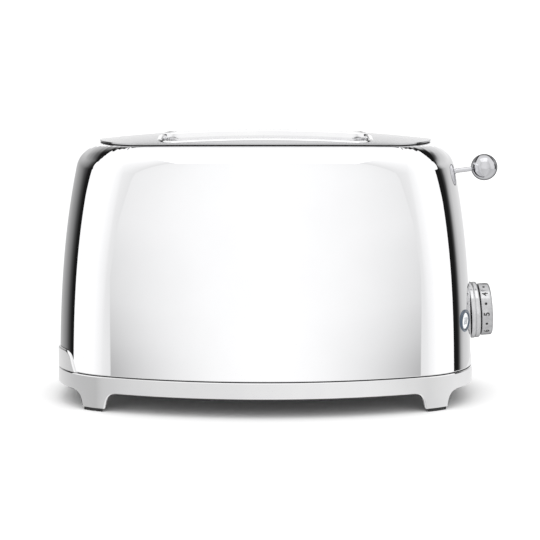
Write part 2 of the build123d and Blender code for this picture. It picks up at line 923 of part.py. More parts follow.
def tray_front():
    """Arched chrome front of the crumb tray, in line with the base ring."""
    high = tray_bottom + tray_front_height
    arch = base_prism(tray_bottom, high) - base_prism(tray_bottom, high, tray_front_wall)
    return arch & tray_front_block(0, base_corner)


def crumb_tray():
    """Shallow sheet tray behind its front."""
    half = tray_half_depth
    wall = tray_wall
    high = tray_bottom + tray_rim
    tray = box_between((-base_half_width, -half, tray_bottom), (tray_inner_end, half, high))
    tray &= base_prism(tray_bottom, high, tray_front_wall)
    hollow = box_between(
        (-base_half_width, wall - half, tray_bottom + wall),
        (tray_inner_end - wall, half - wall, high + wall),
    )
    return tray - (hollow & base_prism(tray_bottom, high + wall, tray_front_wall + wall))


def tray_rails():
    """Guides on the deck that keep the tray straight and down."""
    near = tray_half_depth + opening_gap
    rim = tray_bottom + tray_rim + opening_gap
    wall = box_between((-rail_outer_end, near, deck_top), (tray_inner_end, near + rail_wall, rim + rail_wall))
    lip = box_between((-rail_outer_end, near - rail_lip, rim), (tray_inner_end, near, rim + rail_wall))
    rail = wall + lip
    return [rail, mirrored(rail)]


# Cable outlet

def outlet_frame():
    """Frame on the back of the shell at the cable outlet, with its Z pointing back."""
    half_width, half_depth = shell_half_size(outlet_height)
    centre = front_arc_radius - half_depth
    y = math.sqrt(front_arc_radius**2 - outlet_place**2) - centre
    return Plane(origin=(outlet_place, y, outlet_height), x_dir=(1, 0, 0), z_dir=(0, 1, 0))


def cable_outlet():
    """Bush in the back of the shell for a mains lead, with no lead in it."""
    slope = outlet_flange * outlet_place / front_arc_radius
    flange = Cylinder(outlet_flange, 2 * (slope + outlet_flange_rise))
    flange = outlet_frame() * flange - shell_body(0, shell_bottom)
    front = slope + outlet_flange_rise
    flange &= outlet_frame() * Cylinder(outlet_flange, 2 * front)
    neck = outlet_frame() * Pos(0, 0, -outlet_neck_length / 2) * Cylinder(outlet_neck, outlet_neck_length)
    return flange + neck - outlet_frame() * Cylinder(outlet_bore, 8 * outlet_neck_length)


def build():
    nodes = {
        "outer_shell": outer_shell(),
        "shell_gasket": shell_gasket(),
        "top_plate": top_plate(),
        "plate_gasket": plate_gasket(),
        "slot_chute_front": slot_chute(-1),
        "slot_chute_rear": slot_chute(1),
        "base_ring": base_ring(),
        "foot_pads": foot_pads(),
        "base_pan": base_pan(),
        "base_screws": base_screws(),
        "end_plate_left": end_plate(-1),
        "end_plate_right": end_plate(1),
        "reflector_front": reflector(-1),
        "reflector_rear": reflector(1),
        "carriage_yoke": carriage_yoke(),
        "carriage_bushings": carriage_bushings(),
        "bread_rack_front": bread_rack(-1),
        "bread_rack_rear": bread_rack(1),
        "lever_arm": lever_arm(),
        "lever_ball": lever_ball(),
        "catch_plate": catch_plate(),
        "electromagnet": electromagnet(),
        "guide_rods": guide_rods(),
        "guide_bracket": guide_bracket(),
        "return_springs": return_springs(),
        "lever_slot_liner": lever_slot_liner(),
        "dial_bezel": dial_bezel(),
        "dial_shell": dial_shell(),
        "dial_face": dial_face(),
        "dial_shaft": dial_shaft(),
        "dial_marks": dial_marks(),
        "encoder_bush": encoder_bush(),
        "encoder_body": encoder_body(),
        "control_board": control_board(),
        "board_clips": board_clips(),
        "terminal_block": terminal_block(),
        "crumb_tray": crumb_tray(),
        "tray_front": tray_front(),
        "tray_rails": tray_rails(),
        "cable_outlet": cable_outlet(),
    }
    for number, (y, way) in enumerate(heater_places(), start=1):
        nodes[f"heater_card_{number}"] = heater_card(y)
        nodes[f"heater_ribbon_{number}"] = heater_ribbon(y, way)
    for number, (y, way) in enumerate(guard_places(), start=1):
        nodes[f"bread_guard_{number}"] = bread_guard(y)
    for side, name in ((-1, "front"), (1, "rear")):
        nodes[f"button_ring_{name}"] = button_ring(side)
        nodes[f"button_cap_{name}"] = button_cap(side)
        nodes[f"button_switch_{name}"] = button_switch(side)
    return nodes


def guard_places():
    """Y of each bread guard and the way its top swings."""
    return [
        (side * slot_centre + way * guard_offset, -way) for side in (-1, 1) for way in (-1, 1)
    ]


os.makedirs("parts", exist_ok=True)
for name, shape in build().items():
    pieces = shape if isinstance(shape, list) else shape.solids()
    solids = [Pos(body_place, 0, 0) * piece.solid() for piece in pieces]
    whole = solids[0] if len(solids) == 1 else Compound(solids)
    export_step(whole, f"parts/{name}.step")
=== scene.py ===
import json
import math

import bmesh
import bpy
from mathutils import Matrix, Vector
from mathutils.bvhtree import BVHTree
from mathutils.interpolate import poly_3d_calc


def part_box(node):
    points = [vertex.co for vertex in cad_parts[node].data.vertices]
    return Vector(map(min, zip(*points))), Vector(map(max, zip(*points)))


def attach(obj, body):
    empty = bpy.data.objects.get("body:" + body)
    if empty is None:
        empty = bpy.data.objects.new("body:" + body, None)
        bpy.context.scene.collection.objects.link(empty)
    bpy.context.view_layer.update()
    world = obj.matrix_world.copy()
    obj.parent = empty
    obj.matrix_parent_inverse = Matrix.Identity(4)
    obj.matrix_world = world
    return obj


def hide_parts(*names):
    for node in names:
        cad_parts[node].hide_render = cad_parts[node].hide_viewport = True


# Lengths below are millimetres from the middle of the base: X towards the lever
# end, -Y to the front, Z up. They are turned into metres where a mesh is placed.

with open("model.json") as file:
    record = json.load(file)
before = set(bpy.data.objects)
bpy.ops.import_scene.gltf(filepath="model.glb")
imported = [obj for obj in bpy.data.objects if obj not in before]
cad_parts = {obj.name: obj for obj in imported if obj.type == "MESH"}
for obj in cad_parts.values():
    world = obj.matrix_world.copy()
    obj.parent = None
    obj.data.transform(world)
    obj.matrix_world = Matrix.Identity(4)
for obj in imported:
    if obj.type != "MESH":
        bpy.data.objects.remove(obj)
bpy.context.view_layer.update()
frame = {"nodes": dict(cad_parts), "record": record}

MM = 0.001
BODY_X = (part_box("base_ring")[0][0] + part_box("base_ring")[1][0]) / 2 / MM

# Plan outline of the body: arcs at the front and back, at the ends and at the corners
FRONT_ARC = 310.0
END_ARC = 200.0
CORNER_ARC = 60.0
BASE_HALF_WIDTH = 155.0
BASE_HALF_DEPTH = 97.5
END_STEPS = 8
CORNER_STEPS = 44
FRONT_STEPS = 34

# Base ring, its legs and the tray's front
RING_BOTTOM = 13.7
RING_TOP = 25.5
RING_WALL = 3.0
RING_EDGE = 0.7
LEG_PLACE = 123.0
LEG_TOP_HALF = 17.0
LEG_TIP_HALF = 7.8
LEG_BOTTOM = 2.2
LEG_STEPS = 16
RING_END_STEPS = 24
RING_FRONT_STEPS = 30
TRAY_BOTTOM = 25.8
TRAY_TOP = 40.8
TRAY_FOOT_HALF = 61.2
TRAY_HEAD_HALF = 55.5
TRAY_CORNER = 9.0
TRAY_EDGE = 1.1
TRAY_GAP = 0.4
FLAT_EDGE = 0.15

# Shell
SHELL_BOTTOM = 26.0
SHELL_WALL = 1.0
LIP = 0.3
PLATE_OVERLAP = 6.0
SHELL_STEP = 0.6
BODY_HEIGHT = 144.5
END_LEAN = 2.5
END_ROLL = 10.6
FACE_LEAN = 3.0
FACE_ROLL = 10.3
ROLL_POWER = 2.5
SHOULDER_RADIUS = 22.0
SHELL_CROWN = 196.4
CROWN_HEIGHT = 198.0
CROWN_X = 1100.0
CROWN_Y = 283.0
PLATE_HALF_WIDTH = 123.5
PLATE_HALF_DEPTH = 63.0
PLATE_CORNER = 50.0
SIDE_ROWS = 30
SHOULDER_ROWS = 28
CROWN_ROWS = 5
SHOULDER_SPAN = (120.0, 192.0)
FLOW_REACH = 1.2 * SHELL_WALL
FLOW_MATCH = 0.8
HOLE_DEPTH = 40.0
TRAY_CUT_START = -180.0
TRAY_CUT_DEPTH = 90.0

# Bread slots
SLOT_HALF_LENGTH = 75.0
SLOT_HALF_WIDTH = 18.0
SLOT_CORNER = 12.0
SLOT_CENTRE = 32.5
CHUTE_BOTTOM = 172.0
SLOT_COLUMNS = 160

# Lever
BALL_CENTRE = (164.0, 0.0, 169.7)
BALL_RADIUS = 9.85
BALL_ROWS = 40
ARM_RADIUS = 1.75
ARM_TILT = math.radians(7.3)
LEVER_SLOT_HALF = 3.45
LEVER_SLOT_RIM = 1.6
LEVER_CUT_START = 120.0
LEVER_CUT_END = 170.0

# Dial and buttons
DIAL_ORIGIN = (153.0, 0.0, 61.7)
DIAL_TILT = math.radians(3.4)
DIAL_AXIS = (math.cos(DIAL_TILT), 0, math.sin(DIAL_TILT))
DIAL_RADIUS = 19.5
DIAL_HOLE = 16.8
NUMERAL_HEIGHT = 4.4
NUMERAL_WEIGHT = 0.14
NUMERAL_DEPTH = 0.12
NUMERAL_ALONG = 11.6
NUMERAL_PROUD = 0.005
NUMERAL_SQUASH = 0.4
LETTER_SIZE = 1.4
NUMERAL_STEP = math.radians(46)
NUMERAL_START = math.radians(0.7) - 2 * NUMERAL_STEP
LAST_NUMERAL = 6
DOT_RADIUS = 1.0
BUTTON_TURN = math.radians(28.0)
BUTTON_HEIGHT = 61.0
BUTTON_HOLE = 7.35
BUTTON_HOLE_DEPTH = 20.0
OUTLET_HOLE = 5.9
WAVE_GAP = 2.1
WAVE_HEIGHT = 5.2
WAVE_SWAY = 0.55
WAVE_WIDTH = 1.1
WAVE_TOP = 0.505
WAVE_DEPTH = 0.35

# Meshes and finishes
CREASE = math.radians(35)
BALL_STEPS = 96
DIAL_STEPS = 128
BUTTON_STEPS = 72
NOISE_DETAIL = 4.0
METAL_GRAIN = 0.02
SOFT_GRAIN = 0.05

# Studio: directions in degrees, azimuth from the front and lift from the horizon
# Each list holds stops, as pairs of an input and the value that it gives
# Shades run from 0, black, to 1, the studio's white; a panel's depth is counted in fades
GLOSS_LIGHT = 1.08
DIFFUSE_LIGHT = 1.35
FRONT_EDGE = [(-90, 47.5), (0, 47.0), (8, 44.5), (18, 39.5), (90, 39.0)]
FRONT_LOSS = [(-90, 0.56), (-9, 0.54), (-6.7, 0.42), (-2.6, 0.3), (4, 0.24), (8, 0.19), (15, 0.17)]
FRONT_LOSS += [(90, 0.1)]
FRONT_BEYOND = [(-10, 0.77), (0, 0.77), (6, 0.88), (18, 1.0), (180, 1.0)]
PANEL_EDGE = [(-1, 99), (1, 92)]
PANEL_FADE = [(-1, 22), (1, 20)]
EDGE_SHIFT = [(-90, 5), (8, 5), (14, 1), (22, 0.5), (32, 3.5), (40, 5), (90, 5)]
PANEL_TOP = [(100, 14), (102, 20), (105, 34.6), (113, 42), (124.5, 46.3), (135, 47.6), (145.9, 47.1)]
PANEL_TOP += [(154, 45), (160.9, 41.6), (165.5, 38), (168.6, 34.3), (171, 30.5), (172.8, 28.2)]
PANEL_TOP += [(175, 28.4), (176, 27), (180, 24)]
PANEL_TOP_FADE = [(100, 16), (125, 16), (139, 13), (146, 10), (157, 7), (167, 5), (172, 4), (180, 4)]
PANEL_FLOOR = [(100, 0), (154, 0), (160, 18), (167, 24), (173, 24.3), (175.2, 26.5), (176.5, 28)]
PANEL_FLOOR += [(180, 30)]
PANEL_FLOOR_START = 154.0
HIGH_SHRINK = [(-90, 1.0), (8, 1.0), (18, 0.8), (30, 0.7), (90, 0.7)]
LEFT_SHADE = [(-1, 0.01), (0.3, 0.01), (0.6, 0.06), (1.0, 0.2), (2.0, 0.45), (4.0, 0.75), (8.0, 0.95)]
LEFT_SHADE += [(10, 0.95)]
RIGHT_SHADE = [(-1, 0.01), (0.45, 0.01), (0.65, 0.05), (0.95, 0.4), (1.3, 0.58), (2.2, 0.7), (4.0, 0.9)]
RIGHT_SHADE += [(10, 0.95)]
LOW_LIFT = -10.2
LOW_RING = [(-180, 0.85), (-100, 0.55), (-60, 0.5), (-40, 0.7), (0, 0.82), (30, 0.86), (50, 0.7)]
LOW_RING += [(100, 0.82), (180, 0.82)]
SEEN_LIGHT = 1.2
FRONT_FALL = 1.9

# Floor and lamp, in metres and watts
FLOOR_HALF = 12.0
FLOOR_ROUGHNESS = 0.9
LAMP_WIDTH = 1.6
LAMP_DEPTH = 1.2
LAMP_POWER = 3.0
LAMP_PLACE = (0, -0.5, 1.8)
LAMP_TILT = math.radians(14)

# The photograph's camera, fitted to the outline of the base and the top plate
FRAME_PIXELS = 540
SENSOR = 36.0
LENS_PIXELS = 1584.8
CAMERA_ACROSS = 3.46
CAMERA_BACK = 1185.6
CAMERA_HEIGHT = 250.4
CAMERA_TILT = 0.0887
CAMERA_SHIFT = -70 / FRAME_PIXELS


def at(x, y, z):
    """Point given in millimetres, in the metres of the scene."""
    return Vector(((BODY_X + x) * MM, y * MM, z * MM))


# Plan outline and crown

def quarter_arcs(half_width, half_depth, corner):
    """Centres of the front, end and corner arcs of one quarter, and where they meet."""
    front = Vector((0, half_depth - FRONT_ARC))
    end = Vector((half_width - END_ARC, 0))
    gap = end - front
    to_front = FRONT_ARC - corner
    to_end = END_ARC - corner
    along = (to_front**2 - to_end**2 + gap.length**2) / (2 * gap.length)
    across = math.sqrt(to_front**2 - along**2)
    way = gap.normalized()
    middle = front + way * along + Vector((way.y, -way.x)) * across
    front_meets = math.atan2(middle.y - front.y, middle.x - front.x)
    end_meets = math.atan2(middle.y - end.y, middle.x - end.x)
    return front, end, middle, front_meets, end_meets


def plan_point(turn, half_width, half_depth, inset=0.0, corner=CORNER_ARC):
    """Point of the plan outline whose outward normal lies at an angle from +X."""
    front, end, middle, front_meets, end_meets = quarter_arcs(half_width, half_depth, corner)
    across, along = math.cos(turn), math.sin(turn)
    angle = math.atan2(abs(along), abs(across))
    if angle <= end_meets:
        centre, radius = end, END_ARC
    elif angle <= front_meets:
        centre, radius = middle, corner
    else:
        centre, radius = front, FRONT_ARC
    x = centre.x + (radius - inset) * math.cos(angle)
    y = centre.y + (radius - inset) * math.sin(angle)
    return Vector((math.copysign(x, across), math.copysign(y, along)))


def base_point(turn, inset=0.0):
    """Point of the outline at the foot of the body, moved in by an inset."""
    return plan_point(turn, BASE_HALF_WIDTH, BASE_HALF_DEPTH, inset)


def spread(low, high, steps):
    """Evenly spaced values from low to just before high."""
    return [low + (high - low) * step / steps for step in range(steps)]


def halved(low, high, short_of, rounds=40):
    """Value where a test stops holding, found by halving the span between two values."""
    for _ in range(rounds):
        middle = (low + high) / 2
        if short_of(middle):
            low = middle
        else:
            high = middle
    return middle


def all_round(quarter):
    """Angles of a whole turn from those of one quarter, which ends before the next."""
    half = quarter + [math.pi / 2] + [math.pi - angle for angle in reversed(quarter[1:])]
    return half + [math.pi + angle for angle in half]


def body_turns():
    """Normal angles that space the columns of the shell evenly round the plan."""
    front_meets, end_meets = quarter_arcs(BASE_HALF_WIDTH, BASE_HALF_DEPTH, CORNER_ARC)[3:]
    quarter = spread(0, end_meets, END_STEPS)
    quarter += spread(end_meets, front_meets, CORNER_STEPS)
    quarter += spread(front_meets, math.pi / 2, FRONT_STEPS)
    return all_round(quarter)


def crown_z(x, y, top):
    """Height of the surface crowned both ways, with its summit at top."""
    reach = math.sqrt(CROWN_Y**2 - y**2) + CROWN_X - CROWN_Y
    return top - CROWN_X + math.sqrt(reach**2 - x**2)


def crown_normal(x, y, z, top):
    """Outward normal of the crowned surface through a point under it."""
    around = math.atan2(x, z - (top - CROWN_X))
    rho = math.hypot(x, z - (top - CROWN_X))
    lean = Vector((y, rho - (CROWN_X - CROWN_Y))).normalized()
    return Vector((lean.y * math.sin(around), lean.x, lean.y * math.cos(around)))


# Mesh helpers

def new_grid(columns, rows, place):
    """Sheet of columns by rows, laid on a surface by place(column, row)."""
    shape = bmesh.new()
    bmesh.ops.create_grid(shape, x_segments=columns, y_segments=rows, size=0.5)
    for vert in shape.verts:
        column = round((vert.co.x + 0.5) * columns)
        row = round((vert.co.y + 0.5) * rows)
        vert.co = place(column, row)
    bmesh.ops.remove_doubles(shape, verts=shape.verts, dist=1e-7)
    bmesh.ops.dissolve_degenerate(shape, edges=shape.edges, dist=1e-8)
    bmesh.ops.recalc_face_normals(shape, faces=shape.faces)
    return shape


def spun(profile, axis_frame, steps, closed=True):
    """Profile of radius and height turned right round the Z of a frame."""
    shape = bmesh.new()
    points = [shape.verts.new((radius, 0, height)) for radius, height in profile]
    edges = [shape.edges.new(pair) for pair in zip(points, points[1:])]
    if closed:
        edges.append(shape.edges.new((points[-1], points[0])))
    bmesh.ops.spin(
        shape, geom=points + edges, cent=(0, 0, 0), axis=(0, 0, 1), angle=2 * math.pi,
        steps=steps, use_merge=True,
    )
    bmesh.ops.remove_doubles(shape, verts=shape.verts, dist=1e-5)
    bmesh.ops.dissolve_degenerate(shape, edges=shape.edges, dist=1e-6)
    bmesh.ops.recalc_face_normals(shape, faces=shape.faces)
    shape.transform(axis_frame)
    return shape


def turned_frame(origin, outward, across):
    """Matrix from millimetres in a local frame to the scene, with Z pointing outward."""
    z = Vector(outward).normalized()
    x = (Vector(across) - z * Vector(across).dot(z)).normalized()
    y = z.cross(x)
    turn = Matrix((x, y, z)).transposed().to_4x4()
    return Matrix.Translation(at(*origin)) @ turn @ Matrix.Scale(MM, 4)


def add_piece(name, shape, finish, body, nodes=()):
    """Makes a piece of a bmesh or a mesh, attaches it to its body and hides the nodes that it replaces.
    """
    if isinstance(shape, bmesh.types.BMesh):
        mesh = bpy.data.meshes.new(name)
        shape.to_mesh(mesh)
        shape.free()
        mesh.shade_smooth()
        mesh.set_sharp_from_angle(angle=CREASE)
    else:
        mesh = shape
        mesh.name = name
    piece = bpy.data.objects.new(name, mesh)
    bpy.context.collection.objects.link(piece)
    mesh.materials.clear()
    mesh.materials.append(finish)
    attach(piece, body)
    if nodes:
        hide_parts(*nodes)
    return piece


# Finishes

def new_finish(name):
    finish = bpy.data.materials.new(name)
    finish.use_nodes = True
    nodes = finish.node_tree.nodes
    return finish, nodes, finish.node_tree.links, nodes["Principled BSDF"]


def pattern(nodes, links, scale, stretch=(1, 1, 1)):
    """Noise on the piece's own coordinates."""
    place = nodes.new("ShaderNodeTexCoord")
    mapping = nodes.new("ShaderNodeMapping")
    mapping.inputs["Scale"].default_value = stretch
    noise = nodes.new("ShaderNodeTexNoise")
    noise.inputs["Scale"].default_value = scale
    noise.inputs["Detail"].default_value = NOISE_DETAIL
    links.new(place.outputs["Object"], mapping.inputs["Vector"])
    links.new(mapping.outputs["Vector"], noise.inputs["Vector"])
    return noise.outputs["Fac"]


def ranged(nodes, links, source, low, high):
    span = nodes.new("ShaderNodeMapRange")
    span.inputs["To Min"].default_value = low
    span.inputs["To Max"].default_value = high
    links.new(source, span.inputs["Value"])
    return span.outputs["Result"]


def tinted(nodes, links, source, dark, light):
    ramp = nodes.new("ShaderNodeValToRGB")
    ramp.color_ramp.elements[0].position = 0.3
    ramp.color_ramp.elements[1].position = 0.7
    ramp.color_ramp.elements[0].color = (*dark, 1)
    ramp.color_ramp.elements[1].color = (*light, 1)
    links.new(source, ramp.inputs["Fac"])
    return ramp.outputs["Color"]


def bumped(nodes, links, source, strength, distance):
    bump = nodes.new("ShaderNodeBump")
    bump.inputs["Strength"].default_value = strength
    bump.inputs["Distance"].default_value = distance
    links.new(source, bump.inputs["Height"])
    return bump.outputs["Normal"]


def metal(name, dark, light, rough_low, rough_high, scale, stretch=(1, 1, 1), bump=0.0, rim=1.0):
    """Metal of two near shades; a low rim tint paints shade on it where it turns away, in place of the
    dark surroundings that it would reflect.
    """
    finish, nodes, links, shader = new_finish(name)
    shader.inputs["Metallic"].default_value = 1.0
    # A rim tint below 1 is painted shade at the rims, standing in for reflected dark surroundings
    shader.inputs["Specular Tint"].default_value = (rim, rim, rim, 1)
    cloud = pattern(nodes, links, scale, stretch)
    links.new(tinted(nodes, links, cloud, dark, light), shader.inputs["Base Color"])
    links.new(ranged(nodes, links, cloud, rough_low, rough_high), shader.inputs["Roughness"])
    if bump:
        links.new(bumped(nodes, links, cloud, bump, METAL_GRAIN * MM), shader.inputs["Normal"])
    return finish


def plastic(name, dark, light, rough_low, rough_high, scale=900.0, bump=0.15, coat=0.0):
    """Plastic, rubber, card or paint with a fine grain, under a clear coat where it has one."""
    finish, nodes, links, shader = new_finish(name)
    grain = pattern(nodes, links, scale)
    links.new(tinted(nodes, links, grain, dark, light), shader.inputs["Base Color"])
    links.new(ranged(nodes, links, grain, rough_low, rough_high), shader.inputs["Roughness"])
    shader.inputs["Coat Weight"].default_value = coat
    if bump:
        links.new(bumped(nodes, links, grain, bump, SOFT_GRAIN * MM), shader.inputs["Normal"])
    return finish


def shell_metals():
    """Metals of the casing and its trim, from the brightest to the most matt."""
    return {
        "bright_shell": metal(
            "mirror_shell", (0.93, 0.93, 0.94), (0.95, 0.95, 0.96), 0.012, 0.03, 25,
        ),
        "bright_trim": metal("mirror_trim", (0.86, 0.86, 0.87), (0.9, 0.9, 0.9), 0.03, 0.06, 40),
        # Knob, collar and dial take a low rim tint: painted shade at their rims
        "bright_knob": metal(
            "knob_chrome", (0.6, 0.6, 0.62), (0.66, 0.66, 0.68), 0.04, 0.08, 200, rim=0.0,
        ),
        "bright_collar": metal(
            "collar_chrome", (0.6, 0.6, 0.61), (0.7, 0.7, 0.71), 0.1, 0.16, 200, rim=0.4,
        ),
        "bright_dial": metal(
            "satin_dial", (0.5, 0.5, 0.51), (0.62, 0.62, 0.63), 0.12, 0.2, 300, rim=0.4,
        ),
        "top_steel": metal(
            "plate_steel", (0.5, 0.5, 0.51), (0.56, 0.56, 0.57), 0.14, 0.22, 90, (0.2, 1, 1),
        ),
    }


def inner_metals():
    """Metals of the parts inside."""
    return {
        "inner_steel": metal(
            "mill_steel", (0.5, 0.5, 0.5), (0.62, 0.62, 0.61), 0.25, 0.4, 120, (0.1, 1, 1), 0.1,
        ),
        "wire_steel": metal(
            "wire_bright", (0.62, 0.62, 0.62), (0.72, 0.72, 0.72), 0.12, 0.25, 200,
        ),
        "heater_wire": metal("ribbon_grey", (0.2, 0.18, 0.17), (0.32, 0.3, 0.28), 0.35, 0.5, 300),
        "coil_copper": metal(
            "coil_copper", (0.55, 0.25, 0.12), (0.7, 0.36, 0.2), 0.25, 0.4, 300, (1, 1, 6), 0.3,
        ),
    }


def soft_finishes():
    """Plastics, rubber, mica, the board's coat and the paint of the marks."""
    return {
        "dark_mark": plastic("mark_black", (0.01, 0.01, 0.01), (0.02, 0.02, 0.02), 0.4, 0.5),
        "button_white": plastic(
            "cap_white", (0.86, 0.88, 0.9), (0.9, 0.92, 0.93), 0.12, 0.18, 400, 0.05, coat=0.6,
        ),
        "button_dark": plastic(
            "ring_navy", (0.03, 0.05, 0.08), (0.05, 0.08, 0.12), 0.1, 0.16, 400, 0.05, coat=0.8,
        ),
        "dark_plastic": plastic(
            "plastic_black", (0.018, 0.018, 0.02), (0.03, 0.03, 0.032), 0.4, 0.55,
        ),
        "dark_rubber": plastic(
            "rubber_black", (0.012, 0.012, 0.012), (0.022, 0.022, 0.022), 0.6, 0.75,
        ),
        "mica": plastic(
            "mica_board", (0.42, 0.34, 0.2), (0.62, 0.53, 0.36), 0.3, 0.5, 220, 0.2, coat=0.2,
        ),
        "board_green": plastic(
            "board_coat", (0.02, 0.12, 0.05), (0.04, 0.2, 0.08), 0.25, 0.35, 300, 0.05, coat=0.3,
        ),
    }


def make_finishes():
    """Finish of every material slot that the record names, and two for the ball and the bezel."""
    return {**shell_metals(), **inner_metals(), **soft_finishes()}


# Shell

def shell_half_size(height):
    """Half width and half depth of the shell, which lean in and then roll over with height."""
    rise = (height - RING_TOP) / BODY_HEIGHT
    roll = max(rise, 0) ** ROLL_POWER
    half_width = BASE_HALF_WIDTH - SHELL_STEP - END_LEAN * rise - END_ROLL * roll
    half_depth = BASE_HALF_DEPTH - SHELL_STEP - FACE_LEAN * rise - FACE_ROLL * roll
    return half_width, half_depth


def shell_side(turn, height, inset=0.0):
    spot = plan_point(turn, *shell_half_size(height), inset)
    return Vector((spot.x, spot.y, height))


def shell_side_normal(turn, height):
    step = 0.01
    rise = (shell_side(turn, height + step) - shell_side(turn, height)) / step
    flat = Vector((math.cos(turn), math.sin(turn), 0))
    return Vector((flat.x, flat.y, -flat.dot(rise))).normalized()


def shoulder_middle(turn, height):
    """Middle of the shoulder's arc where the side ends at a height."""
    return shell_side(turn, height) - shell_side_normal(turn, height) * SHOULDER_RADIUS


def fits_under_crown(middle):
    """Whether a shoulder's arc about a point stays under the crowned top."""
    reach = math.sqrt((CROWN_Y - SHOULDER_RADIUS) ** 2 - middle.y**2) + CROWN_X - CROWN_Y
    return SHELL_CROWN - CROWN_X + math.sqrt(reach**2 - middle.x**2) - middle.z > 0


def shoulder(turn):
    """Height where the side ends, the middle of the shoulder's arc, and its two normals."""
    height = halved(*SHOULDER_SPAN, lambda height: fits_under_crown(shoulder_middle(turn, height)))
    middle = shoulder_middle(turn, height)
    return height, middle, shell_side_normal(turn, height), crown_normal(*middle, SHELL_CROWN)


def shell_skin(turn, inset):
    """Points up one face of the shell, from its foot to under the top plate."""
    height, middle, side, crown = shoulder(turn)
    foot = SHELL_BOTTOM + LIP
    points = []
    for step in range(SIDE_ROWS):
        points.append(shell_side(turn, foot + (height - foot) * step / SIDE_ROWS, inset))
        if step == 0:
            points.append(shell_side(turn, foot + LIP, inset))
    radius = SHOULDER_RADIUS - inset
    for step in range(SHOULDER_ROWS + 1):
        points.append(middle + side.slerp(crown, step / SHOULDER_ROWS) * radius)
    edge = points[-1]
    inner = plan_point(turn, PLATE_HALF_WIDTH, PLATE_HALF_DEPTH, PLATE_OVERLAP, PLATE_CORNER)
    for step in range(1, CROWN_ROWS + 1):
        spot = edge.xy.lerp(inner, step / CROWN_ROWS)
        points.append(Vector((spot.x, spot.y, crown_z(spot.x, spot.y, SHELL_CROWN - inset))))
    return points


def shell_profile(turn):
    """Points round one section of the shell's wall, with a rounded lower edge."""
    lip = [shell_side(turn, SHELL_BOTTOM, share * SHELL_WALL) for share in (0.7, 0.3)]
    return shell_skin(turn, 0) + list(reversed(shell_skin(turn, SHELL_WALL))) + lip


def slot_cutter(half, low, high, near, far):
    """Upright slot with round ends, as a block along X."""
    shape = bmesh.new()
    bmesh.ops.create_circle(shape, cap_ends=True, segments=32, radius=half)
    for vert in shape.verts:
        lift = high - half if vert.co.y > 0 else low + half
        vert.co = Vector((near, vert.co.x, vert.co.y + lift))
    push_out(shape, Vector((far - near, 0, 0)))
    return shape


def push_out(shape, way):
    """Turns a flat face into a block along a direction, and places it."""
    made = bmesh.ops.extrude_face_region(shape, geom=list(shape.faces))
    verts = [item for item in made["geom"] if isinstance(item, bmesh.types.BMVert)]
    bmesh.ops.translate(shape, verts=verts, vec=way)
    bmesh.ops.recalc_face_normals(shape, faces=shape.faces)
    for vert in shape.verts:
        vert.co = at(*vert.co)


def round_cutter(origin, outward, radius, depth):
    shape = bmesh.new()
    bmesh.ops.create_cone(
        shape, cap_ends=True, segments=64, radius1=radius, radius2=radius, depth=depth,
    )
    shape.transform(turned_frame(origin, outward, (0, 0, 1)))
    return shape


def tray_outline(grow):
    """Arched outline of the tray's front: half its points, from the foot to the middle."""
    foot = Vector((TRAY_FOOT_HALF + grow, TRAY_BOTTOM - grow))
    head = Vector((TRAY_HEAD_HALF + grow, TRAY_TOP + grow))
    flank = (head - foot).normalized()
    radius = TRAY_CORNER + grow
    bend = math.acos(-flank.x)
    back = radius * math.tan(bend / 2)
    start = head - flank * back
    inward = Vector((-flank.y, flank.x)) * radius
    centre = start + inward
    first = math.atan2(-inward.y, -inward.x)
    points = [foot.lerp(start, step / 6) for step in range(6)]
    for step in range(9):
        angle = first + (math.pi / 2 - first) * step / 8
        points.append(centre + Vector((math.cos(angle), math.sin(angle))) * radius)
    end = points[-1]
    points += [end.lerp(Vector((0, end.y)), step / 16) for step in range(1, 17)]
    return points


def tray_cutter():
    shape = bmesh.new()
    half = tray_outline(TRAY_GAP)
    loop = [(-spot.x, spot.y) for spot in half] + [(spot.x, spot.y) for spot in reversed(half[:-1])]
    verts = [shape.verts.new((TRAY_CUT_START, y, z)) for y, z in loop]
    shape.faces.new(verts)
    push_out(shape, Vector((TRAY_CUT_DEPTH, 0, 0)))
    return shape


def cut(piece, cutters):
    """Cuts the shapes out of a piece and keeps the result as its mesh."""
    helpers = []
    for number, shape in enumerate(cutters):
        mesh = bpy.data.meshes.new(f"cutter_{number}")
        shape.to_mesh(mesh)
        shape.free()
        helper = bpy.data.objects.new(f"cutter_{number}", mesh)
        bpy.context.collection.objects.link(helper)
        tool = piece.modifiers.new(f"cut_{number}", "BOOLEAN")
        tool.operation = "DIFFERENCE"
        tool.solver = "EXACT"
        tool.object = helper
        helpers.append(helper)
    apply_modifiers(piece)
    for helper in helpers:
        bpy.data.objects.remove(helper)


def apply_modifiers(piece):
    bpy.context.view_layer.update()
    graph = bpy.context.evaluated_depsgraph_get()
    mesh = bpy.data.meshes.new_from_object(piece.evaluated_get(graph))
    old = piece.data
    piece.modifiers.clear()
    piece.data = mesh
    mesh.name = piece.name
    bpy.data.meshes.remove(old)


def keep_flow(mesh, smooth):
    """Gives a cut mesh the normals of the uncut form wherever it still follows it."""
    tree = BVHTree.FromBMesh(smooth)
    smooth.faces.ensure_lookup_table()
    normals = []
    for face in mesh.polygons:
        for index in face.vertices:
            spot = mesh.vertices[index].co
            found, _, number, gap = tree.find_nearest(spot)
            near = smooth.faces[number]
            weights = poly_3d_calc([vert.co for vert in near.verts], found)
            flow = Vector()
            for weight, vert in zip(weights, near.verts):
                flow += vert.normal * weight
            if flow.dot(face.normal) < 0:
                flow = -flow
            flow.normalize()
            follows = gap < FLOW_REACH * MM and flow.dot(face.normal) > FLOW_MATCH
            normals.append(flow if follows else face.normal)
    mesh.shade_smooth()
    mesh.normals_split_custom_set([tuple(normal) for normal in normals])


